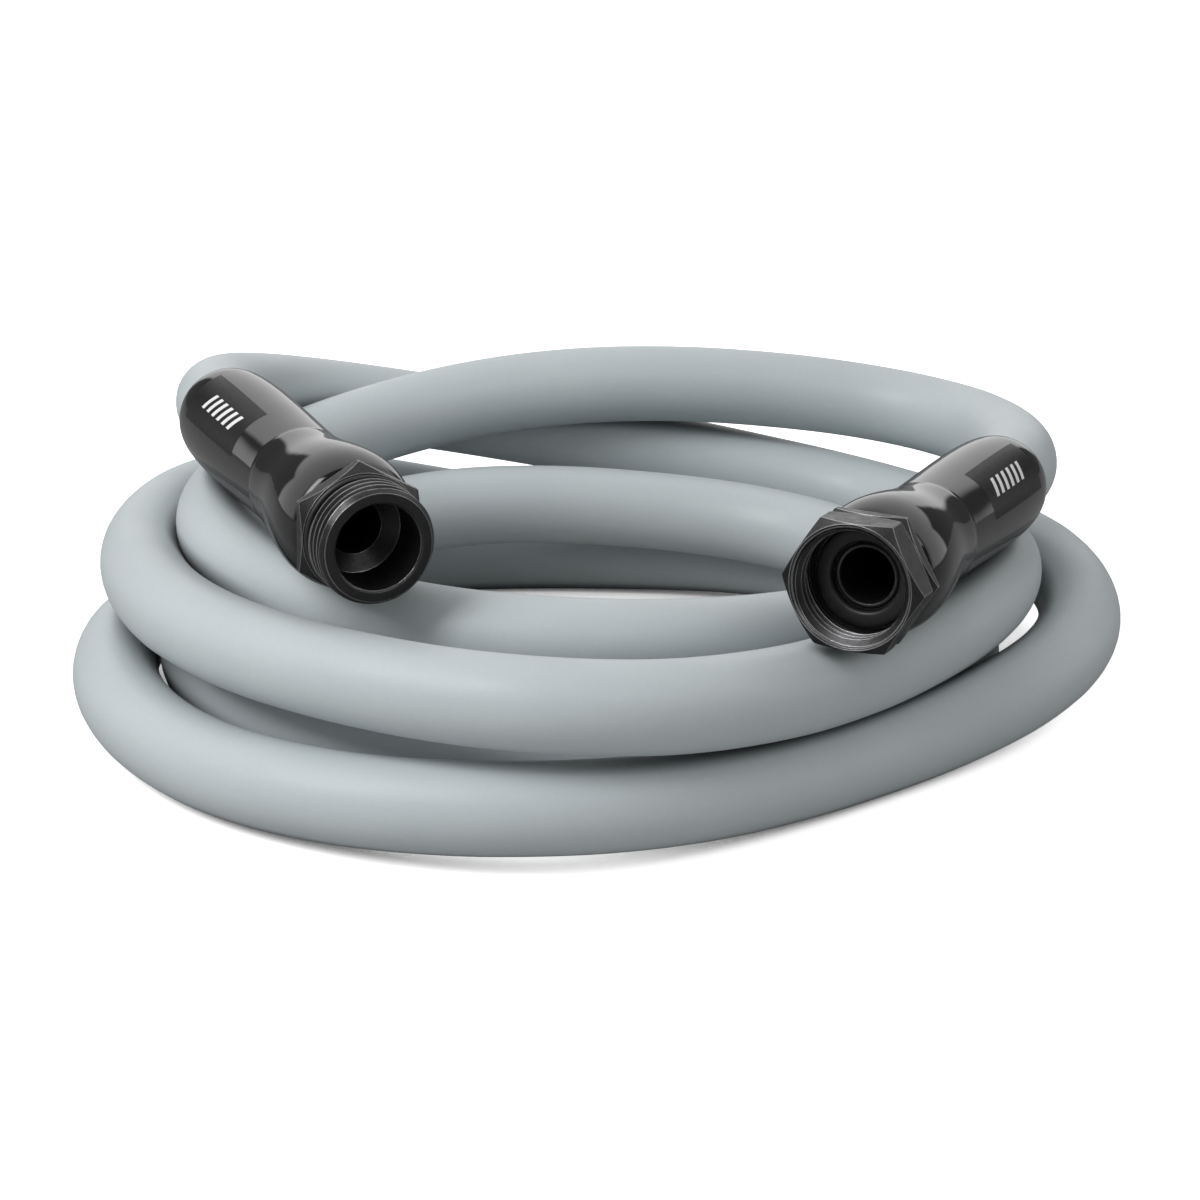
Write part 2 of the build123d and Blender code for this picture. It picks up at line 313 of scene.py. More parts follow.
def section_shift(edges, heading, radius):
    """How far the middle of the round section lies from the guess, from where
    the section plane cuts the mesh edges.  Rim points are averaged in equal
    sectors first, so that crowded places don't count more."""
    height = edges @ heading
    edges = edges[(height[:, 0] > 0) != (height[:, 1] > 0)]
    height = edges @ heading
    share = (height[:, 0] / (height[:, 0] - height[:, 1]))[:, None]
    spots = edges[:, 0] * (1 - share) + edges[:, 1] * share
    reach = np.linalg.norm(spots, axis=1)
    near = np.abs(reach - radius) < 0.05 * radius
    spots = spots[near]
    reach = reach[near]
    side = np.cross(heading, (0.3, 0.2, 0.9))
    side /= np.linalg.norm(side)
    over = np.cross(heading, side)
    sector = np.floor(np.arctan2(spots @ over, spots @ side) / (2 * np.pi) * 24).astype(int)
    shift = np.zeros(3)
    sectors = np.unique(sector)
    for k in sectors:
        chosen = sector == k
        direction = (spots[chosen] / reach[chosen][:, None]).mean(0)
        shift += direction * (reach[chosen].mean() - radius)
    return shift * 1.6 / max(len(sectors), 1)


def averaged(line):
    """Line with each point moved to a weighted mean of its neighbours, ends kept."""
    result = line.copy()
    for _ in range(4):
        result[2:-2] = (
            result[:-4] + 4 * result[1:-3] + 6 * result[2:-2] + 4 * result[3:-1] + result[4:]) / 16
    return result


def smoothed(line):
    """Line with the facets of the traced mesh averaged out.  What one averaging
    takes off a bend, the second gives back."""
    once = averaged(line)
    return 2 * once - averaged(once)


def doubled(line):
    """Line with a point added between each two, on the curve through four."""
    padded = np.concatenate(([2 * line[0] - line[1]], line, [2 * line[-1] - line[-2]]))
    between = (9 * (padded[1:-2] + padded[2:-1]) - padded[:-3] - padded[3:]) / 16
    result = np.empty((2 * len(line) - 1, 3))
    result[0::2] = line
    result[1::2] = between
    return result


def cross_frames(line):
    """Two directions across the line at each point, carried along without twist."""
    tangents = np.gradient(line, axis=0)
    tangents /= np.linalg.norm(tangents, axis=1)[:, None]
    side = np.cross(tangents[0], (0, 0, 1))
    sides = []
    for tangent in tangents:
        side = side - tangent * (side @ tangent)
        side /= np.linalg.norm(side)
        sides.append(side)
    return np.array(sides), np.cross(tangents, sides)


def spokes_around(line, columns):
    """Unit directions out from each point of the line, shape (points, columns, 3)."""
    sides, overs = cross_frames(line)
    angles = np.linspace(0, 2 * np.pi, columns, endpoint=False)
    return sides[:, None] * np.cos(angles)[:, None] + overs[:, None] * np.sin(angles)[:, None]


def hose_relief(place, spoke):
    """Faint unevenness of an extruded rubber hose, in metres."""
    depth = 0.12 * MM
    waves_per_metre = 40
    return noise.noise(Vector(place) * waves_per_metre + Vector(spoke) * 0.5) * depth


def tube_faces(rings, columns):
    """Faces of a tube whose outer rings of points come first, then its inner ones."""
    inner = rings * columns
    faces = []
    for ring in range(rings):
        for column in range(columns):
            a = ring * columns + column
            b = ring * columns + (column + 1) % columns
            if ring < rings - 1:
                faces.append((a, b, b + columns, a + columns))
                faces.append((a + inner + columns, b + inner + columns, b + inner, a + inner))
            if ring in (0, rings - 1):
                faces.append((a, b, b + inner, a + inner))
    return faces


def make_hose():
    """Outer wall of the hose, open at both cut ends, as a closed skin."""
    start = female.at(female.lip + HOSE_START)
    goal = male.at(male.lip + HOSE_START)
    line = trace_hose("hose_cover", start, -female.out, goal, 5 * MM)
    line = doubled(smoothed(line))
    columns = 40
    rings = len(line)
    spokes = spokes_around(line, columns)
    outer = line[:, None] + spokes * HOSE_RADIUS * MM
    relief = [hose_relief(p, q) for p, q in zip(outer.reshape(-1, 3), spokes.reshape(-1, 3))]
    outer = outer + spokes * np.reshape(relief, (rings, columns, 1))
    inner = line[:, None] + spokes * HOSE_INNER * MM
    points = np.concatenate((outer.reshape(-1, 3), inner.reshape(-1, 3)))
    obj = mesh_object("hose_outer_wall", points.tolist(), tube_faces(rings, columns))
    obj.data.materials.append(hose_rubber())
    return finish_piece(obj, "hose", ["hose_cover"], sharp=60)


# ------------------------------------------------------------------ materials
def new_material(name):
    """Material with a Principled surface; returns it and its parts."""
    mat = bpy.data.materials.new(name)
    mat.use_nodes = True
    tree = mat.node_tree
    return mat, tree, tree.nodes["Principled BSDF"]


def noise_node(tree, scale, detail=4.0, roughness=0.55, stretch=None):
    """Grey noise fixed to the piece, from 0 to 1."""
    coords = tree.nodes.new("ShaderNodeTexCoord")
    texture = tree.nodes.new("ShaderNodeTexNoise")
    texture.inputs["Scale"].default_value = scale
    texture.inputs["Detail"].default_value = detail
    texture.inputs["Roughness"].default_value = roughness
    if stretch:
        mapping = tree.nodes.new("ShaderNodeMapping")
        mapping.inputs["Scale"].default_value = stretch
        tree.links.new(coords.outputs["Object"], mapping.inputs["Vector"])
        tree.links.new(mapping.outputs["Vector"], texture.inputs["Vector"])
    else:
        tree.links.new(coords.outputs["Object"], texture.inputs["Vector"])
    return texture.outputs["Fac"]


def span(tree, value, low, high, out_low, out_high):
    """Value mapped from one range to another."""
    node = tree.nodes.new("ShaderNodeMapRange")
    node.inputs["From Min"].default_value = low
    node.inputs["From Max"].default_value = high
    node.inputs["To Min"].default_value = out_low
    node.inputs["To Max"].default_value = out_high
    tree.links.new(value, node.inputs["Value"])
    return node.outputs["Result"]


def maths(tree, operation, *values):
    """One maths node; a value is a socket or a number."""
    node = tree.nodes.new("ShaderNodeMath")
    node.operation = operation
    for socket, value in zip(node.inputs, values):
        if isinstance(value, (int, float)):
            socket.default_value = value
        else:
            tree.links.new(value, socket)
    return node.outputs[0]


def mix_colour(tree, share, first, second):
    """Mix of two colours, each a socket or three numbers."""
    node = tree.nodes.new("ShaderNodeMix")
    node.data_type = "RGBA"
    for socket, colour in ((6, first), (7, second)):
        if isinstance(colour, (tuple, list)):
            node.inputs[socket].default_value = (*colour, 1)
        else:
            tree.links.new(colour, node.inputs[socket])
    tree.links.new(share, node.inputs[0])
    return node.outputs[2]


def add_bump(tree, shader, height, strength, distance):
    """Fine relief on a shader; the distance is in metres."""
    bump = tree.nodes.new("ShaderNodeBump")
    bump.inputs["Strength"].default_value = strength
    bump.inputs["Distance"].default_value = distance
    tree.links.new(height, bump.inputs["Height"])
    tree.links.new(bump.outputs["Normal"], shader.inputs["Normal"])


def vary_roughness(tree, shader, value, low, high):
    """Roughness that follows a noise between two limits."""
    tree.links.new(span(tree, value, 0.3, 0.7, low, high), shader.inputs["Roughness"])


def edge_highlight_and_wear(tree, width):
    """1 on edges, where a bevelled normal would leave the real one, 0 elsewhere: the mask of the painted
    edge highlight and wear.
    """
    bevel = tree.nodes.new("ShaderNodeBevel")
    bevel.samples = 4
    bevel.inputs["Radius"].default_value = width
    geometry = tree.nodes.new("ShaderNodeNewGeometry")
    agreement = tree.nodes.new("ShaderNodeVectorMath")
    agreement.operation = "DOT_PRODUCT"
    tree.links.new(bevel.outputs["Normal"], agreement.inputs[0])
    tree.links.new(geometry.outputs["Normal"], agreement.inputs[1])
    return span(tree, agreement.outputs["Value"], 0.93, 0.99, 1.0, 0.0)


def openness(tree, distance, low, high):
    """0 deep in a gap, 1 in the open."""
    occlusion = tree.nodes.new("ShaderNodeAmbientOcclusion")
    occlusion.samples = 16
    occlusion.inputs["Distance"].default_value = distance
    return span(tree, occlusion.outputs["AO"], low, high, 0.0, 1.0)


def mirror_share(tree, amount):
    """The amount for rays that come from a mirror reflection, 0 for all others."""
    path = tree.nodes.new("ShaderNodeLightPath")
    return span(tree, path.outputs["Is Glossy Ray"], 0, 1, 0.0, amount)


def hose_rubber():
    """Soft pale grey polymer, satin, a little cloudy; painted shade turns it near black in the gaps
    between strands, and its reflections are painted darker.
    """
    mat, tree, shader = new_material("hose_rubber")
    cloud = noise_node(tree, 22, 5)
    colour = mix_colour(tree, cloud, (0.50, 0.555, 0.575), (0.58, 0.63, 0.645))
    grain = noise_node(tree, 900, 3)
    colour = mix_colour(tree, span(tree, grain, 0.35, 0.75, 0.0, 0.10), colour, (0.42, 0.46, 0.48))
    # painted shade: the rubber turns near black deep in the gaps between strands
    colour = mix_colour(tree, openness(tree, 0.009, 0.05, 0.55), (0.05, 0.055, 0.06), colour)
    # painted reflection: the hose is painted dark grey where the glossy parts mirror it
    colour = mix_colour(tree, mirror_share(tree, 0.75), colour, (0.05, 0.05, 0.05))
    tree.links.new(colour, shader.inputs["Base Color"])
    vary_roughness(tree, shader, noise_node(tree, 60, 4), 0.40, 0.52)
    shader.inputs["Specular IOR Level"].default_value = 0.35
    shader.inputs["Sheen Weight"].default_value = 0.06
    shader.inputs["Sheen Roughness"].default_value = 0.5
    add_bump(tree, shader, grain, 0.10, 0.0004)
    return mat


def gloss_plastic():
    """Polished black moulding with faint haze and hairline marks."""
    mat, tree, shader = new_material("gloss_plastic")
    haze = noise_node(tree, 35, 4)
    colour = mix_colour(tree, haze, (0.010, 0.010, 0.0105), (0.016, 0.016, 0.0165))
    tree.links.new(colour, shader.inputs["Base Color"])
    marks = noise_node(tree, 240, 2, 0.5, stretch=(1, 14, 14))
    tree.links.new(span(tree, marks, 0.45, 0.75, 0.06, 0.11), shader.inputs["Roughness"])
    shader.inputs["Specular IOR Level"].default_value = 0.55
    add_bump(tree, shader, noise_node(tree, 55, 2), 0.05, 0.0006)
    return mat


def anodised():
    """Black anodised aluminium: turned surfaces with fine speckle; its edges painted light grey, partly
    bare wear and partly painted highlight.
    """
    mat, tree, shader = new_material("black_anodised")
    speckle = noise_node(tree, 2600, 3, 0.7)
    colour = mix_colour(tree, speckle, (0.012, 0.012, 0.0125), (0.080, 0.080, 0.082))
    # edges painted light grey: partly bare metal worn through, partly painted highlight of the fine edge
    # chamfers
    colour = mix_colour(tree, edge_highlight_and_wear(tree, 0.00028), colour, (0.50, 0.50, 0.51))
    tree.links.new(colour, shader.inputs["Base Color"])
    shader.inputs["Metallic"].default_value = 0.8
    vary_roughness(tree, shader, noise_node(tree, 400, 4), 0.30, 0.46)
    shader.inputs["Specular IOR Level"].default_value = 0.35
    add_bump(tree, shader, speckle, 0.18, 0.00015)
    return mat


def seal_rubber():
    """Matt black rubber."""
    mat, tree, shader = new_material("seal_rubber")
    grain = noise_node(tree, 700, 3)
    colour = mix_colour(tree, grain, (0.008, 0.008, 0.008), (0.02, 0.02, 0.02))
    tree.links.new(colour, shader.inputs["Base Color"])
    vary_roughness(tree, shader, grain, 0.38, 0.55)
    add_bump(tree, shader, grain, 0.1, 0.0003)
    return mat


def plain_finish(name, dark, light, rough, metallic, scale, stretch=None):
    """Finish of a piece that only shows when the object is taken apart."""
    mat, tree, shader = new_material(name)
    grain = noise_node(tree, scale, 4, 0.6, stretch)
    tree.links.new(mix_colour(tree, grain, dark, light), shader.inputs["Base Color"])
    vary_roughness(tree, shader, grain, rough, rough + 0.12)
    shader.inputs["Metallic"].default_value = metallic
    add_bump(tree, shader, grain, 0.15, 0.0003)
    return mat


def yarn():
    """White reinforcing yarn laid in two crossing directions."""
    mat, tree, shader = new_material("yarn")
    coords = tree.nodes.new("ShaderNodeTexCoord")
    heights = []
    for lean in (0.7, -0.7):
        turn = tree.nodes.new("ShaderNodeMapping")
        turn.inputs["Rotation"].default_value = (lean, 0, lean)
        tree.links.new(coords.outputs["Object"], turn.inputs["Vector"])
        wave = tree.nodes.new("ShaderNodeTexWave")
        wave.inputs["Scale"].default_value = 420
        wave.inputs["Distortion"].default_value = 1.5
        tree.links.new(turn.outputs["Vector"], wave.inputs["Vector"])
        heights.append(wave.outputs["Fac"])
    top = maths(tree, "MAXIMUM", *heights)
    colour = mix_colour(tree, top, (0.45, 0.45, 0.43), (0.85, 0.85, 0.82))
    tree.links.new(colour, shader.inputs["Base Color"])
    shader.inputs["Roughness"].default_value = 0.8
    add_bump(tree, shader, top, 0.5, 0.0004)
    return mat


def ink_and_painted_reflection(name, dark, light, specular):
    """Flat coat on the polished plastic: pad-printed ink for the mark, and the painted dark reflection
    behind it.
    """
    mat, tree, shader = new_material(name)
    grain = noise_node(tree, 800, 3)
    tree.links.new(mix_colour(tree, grain, dark, light), shader.inputs["Base Color"])
    vary_roughness(tree, shader, grain, 0.28, 0.40)
    shader.inputs["Specular IOR Level"].default_value = specular
    return mat


# ------------------------------------------------------------------- fittings
metal = anodised()
rubber = seal_rubber()
gloss = gloss_plastic()
white_ink = ink_and_painted_reflection("white_ink", (0.80, 0.80, 0.80), (0.92, 0.92, 0.92), 0.5)
# painted reflection: near-black, barely glossy coat standing in for a dark card mirrored on the grip
painted_reflection_black = ink_and_painted_reflection("painted_reflection_black", (0.004, 0.004, 0.004), (0.010, 0.010, 0.010), 0.12)


def hex_row(flats, first_corner, s, face=None, slope=0.0, inset=0.0):
    """Row on a hexagon, at s.  With a slope, the row moves along the axis as the
    hexagon rises above its turned face, so that its corners are coned off."""
    def row(angle):
        reach = hex_reach(angle, flats, first_corner)
        rise = reach - face if face else 0.0
        return s + rise * slope, reach - inset
    return row


def neck_and_barb(end, bore):
    """Outline of a fitting behind its flange or hexagon, to the tail of its bore."""
    neck_end = end.lip + HOSE_START - 0.05
    tail = end.lip + FITTING_TAIL
    return [(neck_end, NECK_RADIUS), (neck_end, BARB_ROOT), (tail, BARB_ROOT), (tail, bore)]


def make_male_stem():
    """Threaded fitting: lead-in, right-hand thread, O-ring groove, hexagon."""
    face_radius = 12.45
    lead_in = 1.5
    crest = 13.49
    root = crest - THREAD_DEPTH
    hex_front = 10.6
    hex_back = 14.0
    recess = 11.23
    recess_radius = 13.7
    flats = 28.0
    face = flats / 2 - 0.15
    groove_start = male_last + FLANK_HALF - CREST_HALF
    edge = 0.06
    back_edge = 0.25
    bore = 9.95
    bore_depth = 13.0
    shoulder = 2.4
    mouth_chamfer = 0.45

    def limit(s, radius):
        s = min(max(s, 0.0), groove_start)
        cone = face_radius + (crest - face_radius) * min(1.0, s / lead_in)
        full = root + (crest - root) * (1 - ramp(s, 1.2, 2.4))
        run_out = root + (crest - root) * ramp(groove_start - s, 0.0, 0.9)
        return s, min(max(radius, full), cone, run_out)

    mouth = [(mouth_chamfer, bore), (0, bore + mouth_chamfer), (0, face_radius)]
    rows = rounded(mouth, 0.12, closed=False)
    rows += thread_rows(MALE_TURNS, root, crest, limit)
    rows += [
        (groove_start, root),
        (recess, root),
        (recess, recess_radius),
        (hex_front + 0.04, recess_radius),
        (hex_front, recess_radius + 0.04),
        (hex_front, face - edge),
        (hex_front + edge, face),
        hex_row(flats, 0, hex_front + edge, face, CHAMFER_SLOPE),
        hex_row(flats, 0, hex_back - back_edge),
        hex_row(flats, 0, hex_back, inset=back_edge),
        (hex_back, NECK_RADIUS),
        *neck_and_barb(male, FITTING_BORE),
        (bore_depth + shoulder, FITTING_BORE),
        (bore_depth, bore),
    ]
    obj = turned("male_fitting", male, rows, hex_angles(0))
    obj.data.materials.append(metal)
    return finish_piece(obj, "hose", ["male_stem"], sharp=28)


def make_female_nut():
    """Swivel nut: two hexagonal bands outside, right-hand thread inside."""
    flats = 29.0
    first_corner = 30
    mouth = 14.2
    mouth_bevel = 0.4
    rim_edge = 0.08
    face = flats / 2 - 0.1
    edge = 0.05
    band_depth = 0.2
    root = 13.62
    crest = root - THREAD_DEPTH
    band_back = 8.3
    second_band = 8.8
    hex_back = 12.1
    back = 14.8
    skirt = 12.95
    chamber_end = 10.6
    seat = 11.9
    flange_back = 13.35
    thread_end = nut_last + FLANK_HALF - CREST_HALF

    def limit(s, radius):
        s = min(max(s, mouth_bevel), thread_end)
        lead_in = root - (root - crest) * ramp(s, 0.2, 1.9)
        run_out = root - (root - crest) * ramp(thread_end - s, 0.0, 0.9)
        return s, max(radius, lead_in, run_out)

    inner = [
        (0.12, mouth - 0.12),
        (mouth_bevel, mouth - mouth_bevel),
        *thread_rows(NUT_TURNS, root, crest, limit),
        (thread_end, root),
        (chamber_end, root),
        (chamber_end, seat),
        (flange_back, seat),
        (flange_back, NECK_RADIUS + RUNNING_GAP),
        (back, NECK_RADIUS + RUNNING_GAP),
    ]
    outer = [
        (back, skirt - 0.2),
        (back - 0.2, skirt),
        (hex_back, skirt),
        hex_row(flats, first_corner, hex_back, inset=0.5),
        hex_row(flats, first_corner, hex_back - 0.4),
        hex_row(flats, first_corner, second_band + edge, face, CHAMFER_SLOPE),
        (second_band + edge, face),
        (second_band, face - edge),
        (second_band, face - band_depth),
        (band_back, face - band_depth),
        (band_back, face - edge),
        (band_back - edge, face),
        hex_row(flats, first_corner, band_back - edge, face, -CHAMFER_SLOPE / 2),
        hex_row(flats, first_corner, rim_edge, face, CHAMFER_SLOPE),
        (rim_edge, face),
        (0, face - 0.1),
        (0, mouth),
    ]
    obj = turned("swivel_nut", female, inner + outer, hex_angles(first_corner))
    obj.data.materials.append(metal)
    return finish_piece(obj, "female_nut", ["female_nut"], sharp=28)


def make_female_stem():
    """Tube lip, flange and neck seen through the nut."""
    lip_front = 10.9
    flange_front = 11.45
    flange_back = 13.3
    flange_radius = 11.8
    lip_radius = 7.7
    groove_front = 11.85
    groove_back = 12.85
    groove_radius = 10.95
    outline = [
        (lip_front + 0.5, FITTING_BORE),
        (lip_front, FITTING_BORE + 0.3),
        (lip_front, lip_radius - 0.6),
        (lip_front + 0.45, lip_radius),
        (flange_front, lip_radius),
        (flange_front, flange_radius),
        (groove_front, flange_radius),
        (groove_front, groove_radius),
        (groove_back, groove_radius),
        (groove_back, flange_radius),
        (flange_back, flange_radius),
        (flange_back, NECK_RADIUS),
        *neck_and_barb(female, FITTING_BORE),
    ]
    obj = turned("tailpiece", female, rounded(outline, 0.1), even_angles(96))
    obj.data.materials.append(metal)
    return finish_piece(obj, "hose", ["female_stem"])


def make_washer():
    """Black rubber washer with rounded shoulders."""
    front = 9.3
    back = 11.35
    inner = 7.9
    outer = 11.8
    outline = rounded([(front, inner), (front, outer), (back, outer), (back, inner)], 1.0)
    outline = rounded(outline, 0.4)
    obj = turned("sealing_washer", female, outline, even_angles(96))
    obj.data.materials.append(rubber)
    return finish_piece(obj, "hose", ["female_washer"], sharp=50)


def make_o_ring(name, end, place, mean_radius, wire, node):
    """Rubber ring of round section."""
    section = even_angles(16)[:-1]
    outline = [(place + wire * math.cos(a), mean_radius + wire * math.sin(a)) for a in section]
    obj = turned(name, end, outline, even_angles(96))
    obj.data.materials.append(rubber)
    return finish_piece(obj, "hose", [node], sharp=60)


# ---------------------------------------------------------------------- grips
GRIP_LENGTH = 94.0
GRIP_MOUTH = 13.25
GRIP_SEAT = 8.25
RETAINER_PLACE = 4.0
RETAINER_HALF = 0.65
RETAINER_DEPTH = 0.6
BEARING = 12.38
TAIL_BORE = 10.9
# outline as (distance behind the lip, radius)
BELL = [(0, 13.65), (0.9, 14.45), (3.0, 15.2), (6.0, 15.75), (9.5, 15.9), (14, 15.6), (18, 15.1),
        (27, 13.7), (35.8, 12.86)]
TAIL = [(36.1, 12.8), (46, 12.98), (58, 13.3), (70, 13.52), (78, 13.5), (84, 13.3), (89, 12.9),
        (92.3, 12.2), (94.0, 11.3)]


def grip_outline():
    """Outer outline of a grip, from its lip to its tail."""
    return curve_through(BELL, 8) + curve_through(TAIL, 8)


def grip_radius(distance):
    """Outer radius of a grip at a distance behind its lip."""
    outline = grip_outline()
    for (s0, r0), (s1, r1) in zip(outline, outline[1:]):
        if s0 <= distance <= s1:
            return r0 + (r1 - r0) * (distance - s0) / max(s1 - s0, 1e-6)
    return outline[-1][1]


def make_grip(side, end):
    """Moulded grip with its bell, waist and bulbous tail."""
    groove_back = RETAINER_PLACE + RETAINER_HALF
    groove_front = RETAINER_PLACE - RETAINER_HALF
    inside = [
        (GRIP_LENGTH - 0.6, TAIL_BORE),
        (FERRULE_END + 4, TAIL_BORE),
        (FERRULE_END + 0.5, BEARING),
        (GRIP_SEAT, BEARING),
        (GRIP_SEAT, GRIP_MOUTH),
        (groove_back, GRIP_MOUTH),
        (groove_back, GRIP_MOUTH + RETAINER_DEPTH),
        (groove_front, GRIP_MOUTH + RETAINER_DEPTH),
        (groove_front, GRIP_MOUTH),
        (0.35, GRIP_MOUTH),
    ]
    rows = [(end.lip + s, r) for s, r in grip_outline() + inside]
    obj = turned(side + "_moulded_grip", end, rows, even_angles(128))
    obj.data.materials.append(gloss)
    return finish_piece(obj, end.body, [side + "_grip"])


def surface_slab(end, middle_angle, half_angle, start, length, slant, lift):
    """Points and faces of a thin slab laid on a grip, its ends slanted or square."""
    rows = 2 * round(half_angle * 30) + 3
    columns = 17
    sunk = 0.05
    points = []
    for across in np.linspace(-half_angle, half_angle, rows):
        for along in np.linspace(0, length, columns):
            s = start + along + across * slant
            for height in (lift, -sunk):
                points.append(end.at(end.lip + s, grip_radius(s) + height, middle_angle + across))
    return points, slab_faces(rows, columns)


def make_painted_reflection_sheet(side, end, middle_angle):
    """Near-black sheet laid on the grip behind the mark: painted reflection of a dark card mirrored in
    the gloss.
    """
    # painted reflection: the sheet covers where a dark card is mirrored on the grip's camera side
    points, faces = surface_slab(
        end, middle_angle, half_angle=0.52, start=50, length=35, slant=0, lift=0.02
    )
    obj = mesh_object(side + "_grip_painted_reflection", points, faces)
    obj.data.materials.append(painted_reflection_black)
    return finish_piece(obj, end.body, sharp=60)


def make_grip_mark(side, end, middle_angle):
    """Generic printed mark: slanted bars in a row along the grip."""
    points = []
    faces = []
    bars = 6
    first_bar = 56
    spacing = 3.6
    for bar in range(bars):
        bar_points, bar_faces = surface_slab(
            end, middle_angle, half_angle=0.17, start=first_bar + bar * spacing, length=1.7, slant=7,
            lift=0.05,
        )
        faces += [[corner + len(points) for corner in face] for face in bar_faces]
        points += bar_points
    obj = mesh_object(side + "_grip_mark", points, faces)
    obj.data.materials.append(white_ink)
    return finish_piece(obj, end.body, sharp=60)


def slab_faces(rows, columns):
    """Faces of a thin closed slab of rows by columns points, top and bottom in turn."""
    def index(row, column, bottom):
        return (row * columns + column) * 2 + bottom

    faces = []
    for row in range(rows - 1):
        for column in range(columns - 1):
            for bottom in (0, 1):
                faces.append([
                    index(row, column, bottom), index(row + 1, column, bottom),
                    index(row + 1, column + 1, bottom), index(row, column + 1, bottom),
                ])
    rim = [(0, c) for c in range(columns)] + [(r, columns - 1) for r in range(1, rows)]
    rim += [(rows - 1, c) for c in range(columns - 2, -1, -1)] + [(r, 0) for r in range(rows - 2, 0, -1)]
    for (r0, c0), (r1, c1) in zip(rim, rim[1:] + rim[:1]):
        faces.append([index(r0, c0, 0), index(r1, c1, 0), index(r1, c1, 1), index(r0, c0, 1)])
    return faces


# ---------------------------------------------------------------------- build
make_hose()
make_male_stem()
make_female_nut()
make_female_stem()
make_washer()
make_o_ring("male_groove_ring", male, place=10.46, mean_radius=12.83, wire=0.75, node="male_o_ring")
make_o_ring("nut_drag_ring", female, place=12.35, mean_radius=11.42, wire=0.45, node="female_o_ring")
for side, end, facing in (("male", male, math.radians(46)), ("female", female, math.radians(-49))):
    make_grip(side, end)
    make_painted_reflection_sheet(side, end, facing)
    make_grip_mark(side, end, facing)

hidden_finishes = {
    "slip_ring": plain_finish("acetal", (0.72, 0.72, 0.69), (0.84, 0.84, 0.80), 0.40, 0.0, 500),
    "spring_wire": plain_finish(
        "drawn_wire", (0.42, 0.42, 0.43), (0.60, 0.60, 0.60), 0.28, 1.0, 900, stretch=(1, 1, 8)
    ),
    "liner": plain_finish("liner_rubber", (0.20, 0.21, 0.22), (0.28, 0.29, 0.30), 0.45, 0.0, 300),
    "fitting": metal,
    "seal": rubber,
    "grip": gloss,
    "braid": yarn(),
}
slot_of = {entry["node"]: entry["material_slot"] for entry in frame["record"]["subparts"]}
for node, obj in frame["nodes"].items():
    if slot_of[node] in hidden_finishes:
        obj.data.materials.clear()
        obj.data.materials.append(hidden_finishes[slot_of[node]])


# ---------------------------------------------------------- floor, light, camera
def make_floor():
    """Pale floor that glows a little to the camera, so that it reads as white; it is painted darker in
    mirror reflections, and painted shade makes it dark deep in the gaps of the coil."""
    size = 3.0
    mesh = bpy.data.meshes.new("floor")
    corners = [(-size, -size, 0), (size, -size, 0), (size, size, 0), (-size, size, 0)]
    mesh.from_pydata(corners, [], [(0, 1, 2, 3)])
    obj = bpy.data.objects.new("floor", mesh)
    bpy.context.scene.collection.objects.link(obj)
    obj.location.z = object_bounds()[0][2] - 0.0002
    mat, tree, shader = new_material("floor")
    seen = tree.nodes.new("ShaderNodeLightPath").outputs["Is Camera Ray"]
    # the floor sends on less light than it shows, and is painted darker still in mirror reflections
    colour = mix_colour(tree, mirror_share(tree, 1.0), (0.45, 0.45, 0.45), (0.35, 0.35, 0.35))
    # painted shade: deep in the gaps of the coil the floor turns near black and its glow fades out
    clear = openness(tree, 0.04, 0.04, 0.2)
    white = mix_colour(tree, clear, (0.02, 0.02, 0.02), (0.97, 0.97, 0.97))
    tree.links.new(mix_colour(tree, seen, colour, white), shader.inputs["Base Color"])
    shader.inputs["Roughness"].default_value = 0.9
    shader.inputs["Emission Color"].default_value = (1, 1, 1, 1)
    glow = maths(tree, "MULTIPLY", span(tree, seen, 0, 1, 0, 0.85), clear)
    tree.links.new(glow, shader.inputs["Emission Strength"])
    mesh.materials.append(mat)


def soft_light(name, place, target, size, power):
    """Rectangular area light that faces its target."""
    data = bpy.data.lights.new(name, "AREA")
    data.shape = "RECTANGLE"
    data.size = size[0]
    data.size_y = size[1]
    data.energy = power
    obj = bpy.data.objects.new(name, data)
    bpy.context.scene.collection.objects.link(obj)
    obj.location = place
    obj.rotation_euler = (Vector(target) - Vector(place)).to_track_quat("-Z", "Y").to_euler()


def within(tree, value, low, high, soft=1.5):
    """1 where an angle in degrees lies between two others, with a soft edge."""
    rise = span(tree, value, low - soft, low + soft, 0, 1)
    fall = span(tree, value, high - soft, high + soft, 1, 0)
    return maths(tree, "MULTIPLY", rise, fall)


def patch(tree, azimuth, azimuths, elevation, elevations):
    """1 inside a window of directions, 0 outside."""
    return maths(
        tree, "MULTIPLY", within(tree, azimuth, *azimuths), within(tree, elevation, *elevations)
    )


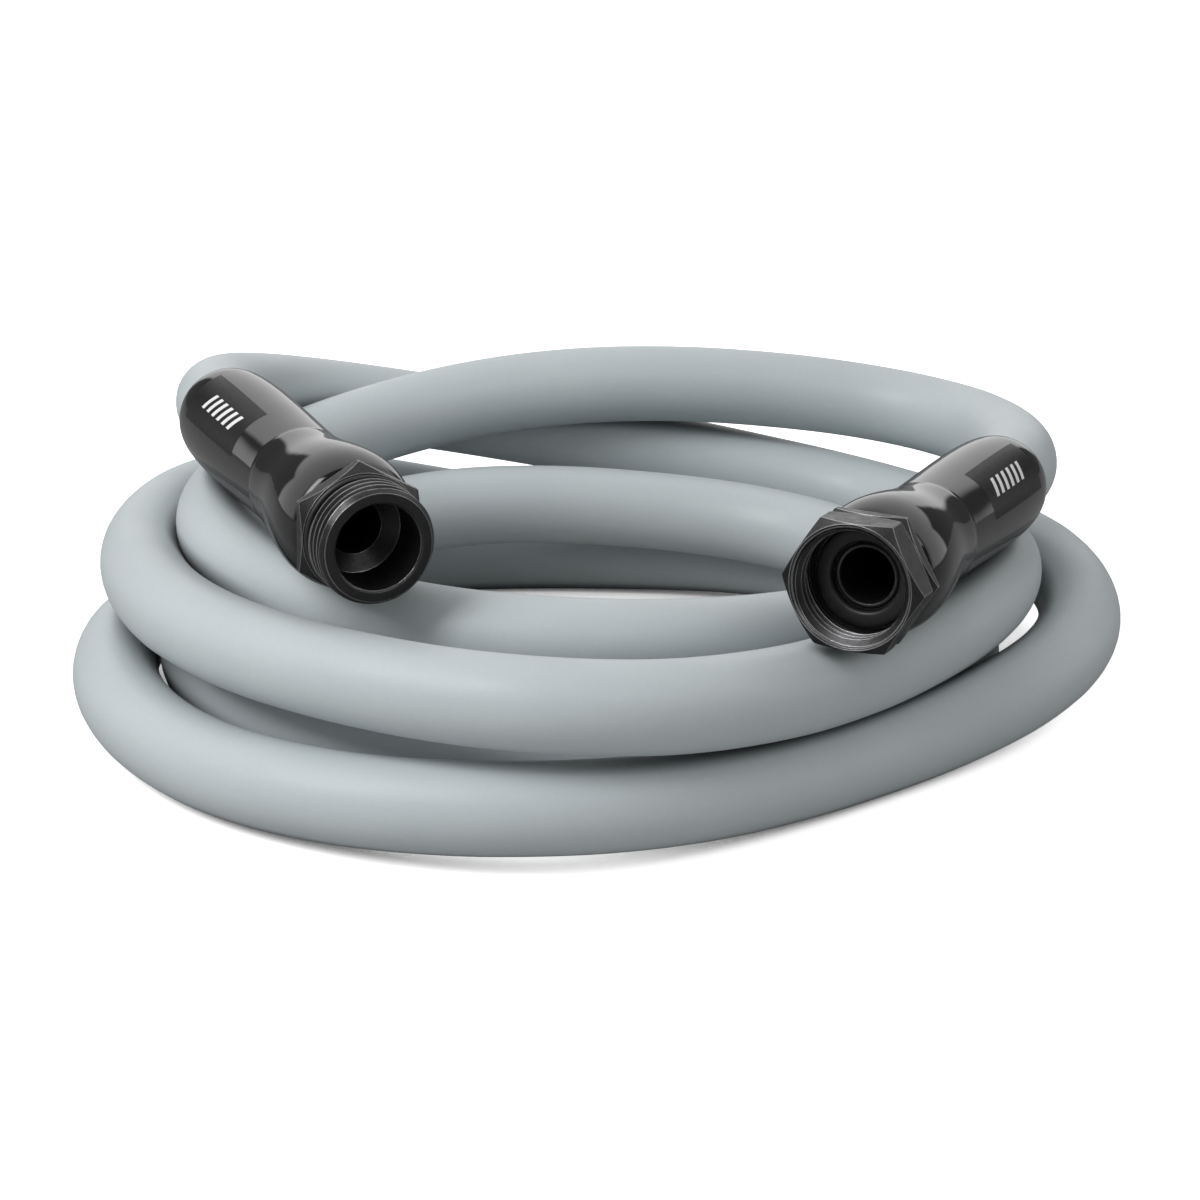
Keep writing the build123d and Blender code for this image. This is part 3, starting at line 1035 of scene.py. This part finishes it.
def make_world():
    """Even white surroundings.  Mirror reflections see a studio instead: a white
    back wall and ceiling, two dark cards at the back corners, and a dark room
    with two soft boxes in front."""
    world = bpy.data.worlds.new("studio")
    world.use_nodes = True
    tree = world.node_tree
    background = tree.nodes["Background"]
    coords = tree.nodes.new("ShaderNodeTexCoord")
    axes = tree.nodes.new("ShaderNodeSeparateXYZ")
    tree.links.new(coords.outputs["Generated"], axes.inputs[0])
    aside = maths(tree, "ABSOLUTE", axes.outputs["X"])
    azimuth = maths(tree, "DEGREES", maths(tree, "ARCTAN2", aside, axes.outputs["Y"]))
    elevation = maths(tree, "DEGREES", maths(tree, "ARCSINE", axes.outputs["Z"]))
    card = patch(tree, azimuth, (24, 50), elevation, (-90, 21))
    front = within(tree, azimuth, 100, 400, 12)
    box = patch(tree, azimuth, (118, 160), elevation, (32, 58))
    lit = maths(tree, "MULTIPLY_ADD", card, -1.1, 1.2)
    room = maths(tree, "MULTIPLY_ADD", box, 2.2, 0.08)
    mirror_view = tree.nodes.new("ShaderNodeMix")
    tree.links.new(front, mirror_view.inputs[0])
    tree.links.new(lit, mirror_view.inputs[2])
    tree.links.new(room, mirror_view.inputs[3])
    path = tree.nodes.new("ShaderNodeLightPath")
    strength = tree.nodes.new("ShaderNodeMix")
    tree.links.new(path.outputs["Is Glossy Ray"], strength.inputs[0])
    strength.inputs[2].default_value = 0.5
    tree.links.new(mirror_view.outputs[0], strength.inputs[3])
    background.inputs["Color"].default_value = (1, 1, 1, 1)
    tree.links.new(strength.outputs[0], background.inputs["Strength"])
    bpy.context.scene.world = world
    bpy.context.scene.view_settings.view_transform = "Standard"


def make_camera():
    """Long lens, looking down by about nineteen degrees, with a slight roll."""
    tilt = math.radians(18.6)
    roll = math.radians(1.17)
    ahead = Vector((0, math.cos(tilt), -math.sin(tilt)))
    up = Vector((0, math.sin(tilt), math.cos(tilt)))
    right = Vector((1, 0, 0))
    turned_right = right * math.cos(roll) + up * math.sin(roll)
    turned_up = up * math.cos(roll) - right * math.sin(roll)
    data = bpy.data.cameras.new("camera")
    data.lens = 89.9
    data.sensor_width = 36
    obj = bpy.data.objects.new("camera", data)
    bpy.context.scene.collection.objects.link(obj)
    axes = Matrix((turned_right, turned_up, -ahead)).transposed()
    obj.matrix_world = Matrix.Translation((-0.0025, -0.7108, 0.264)) @ axes.to_4x4()
    bpy.context.scene.camera = obj


make_floor()
make_world()
soft_light("key", (-0.7, -0.55, 0.95), (0, 0, 0), (0.7, 0.7), 9)
make_camera()
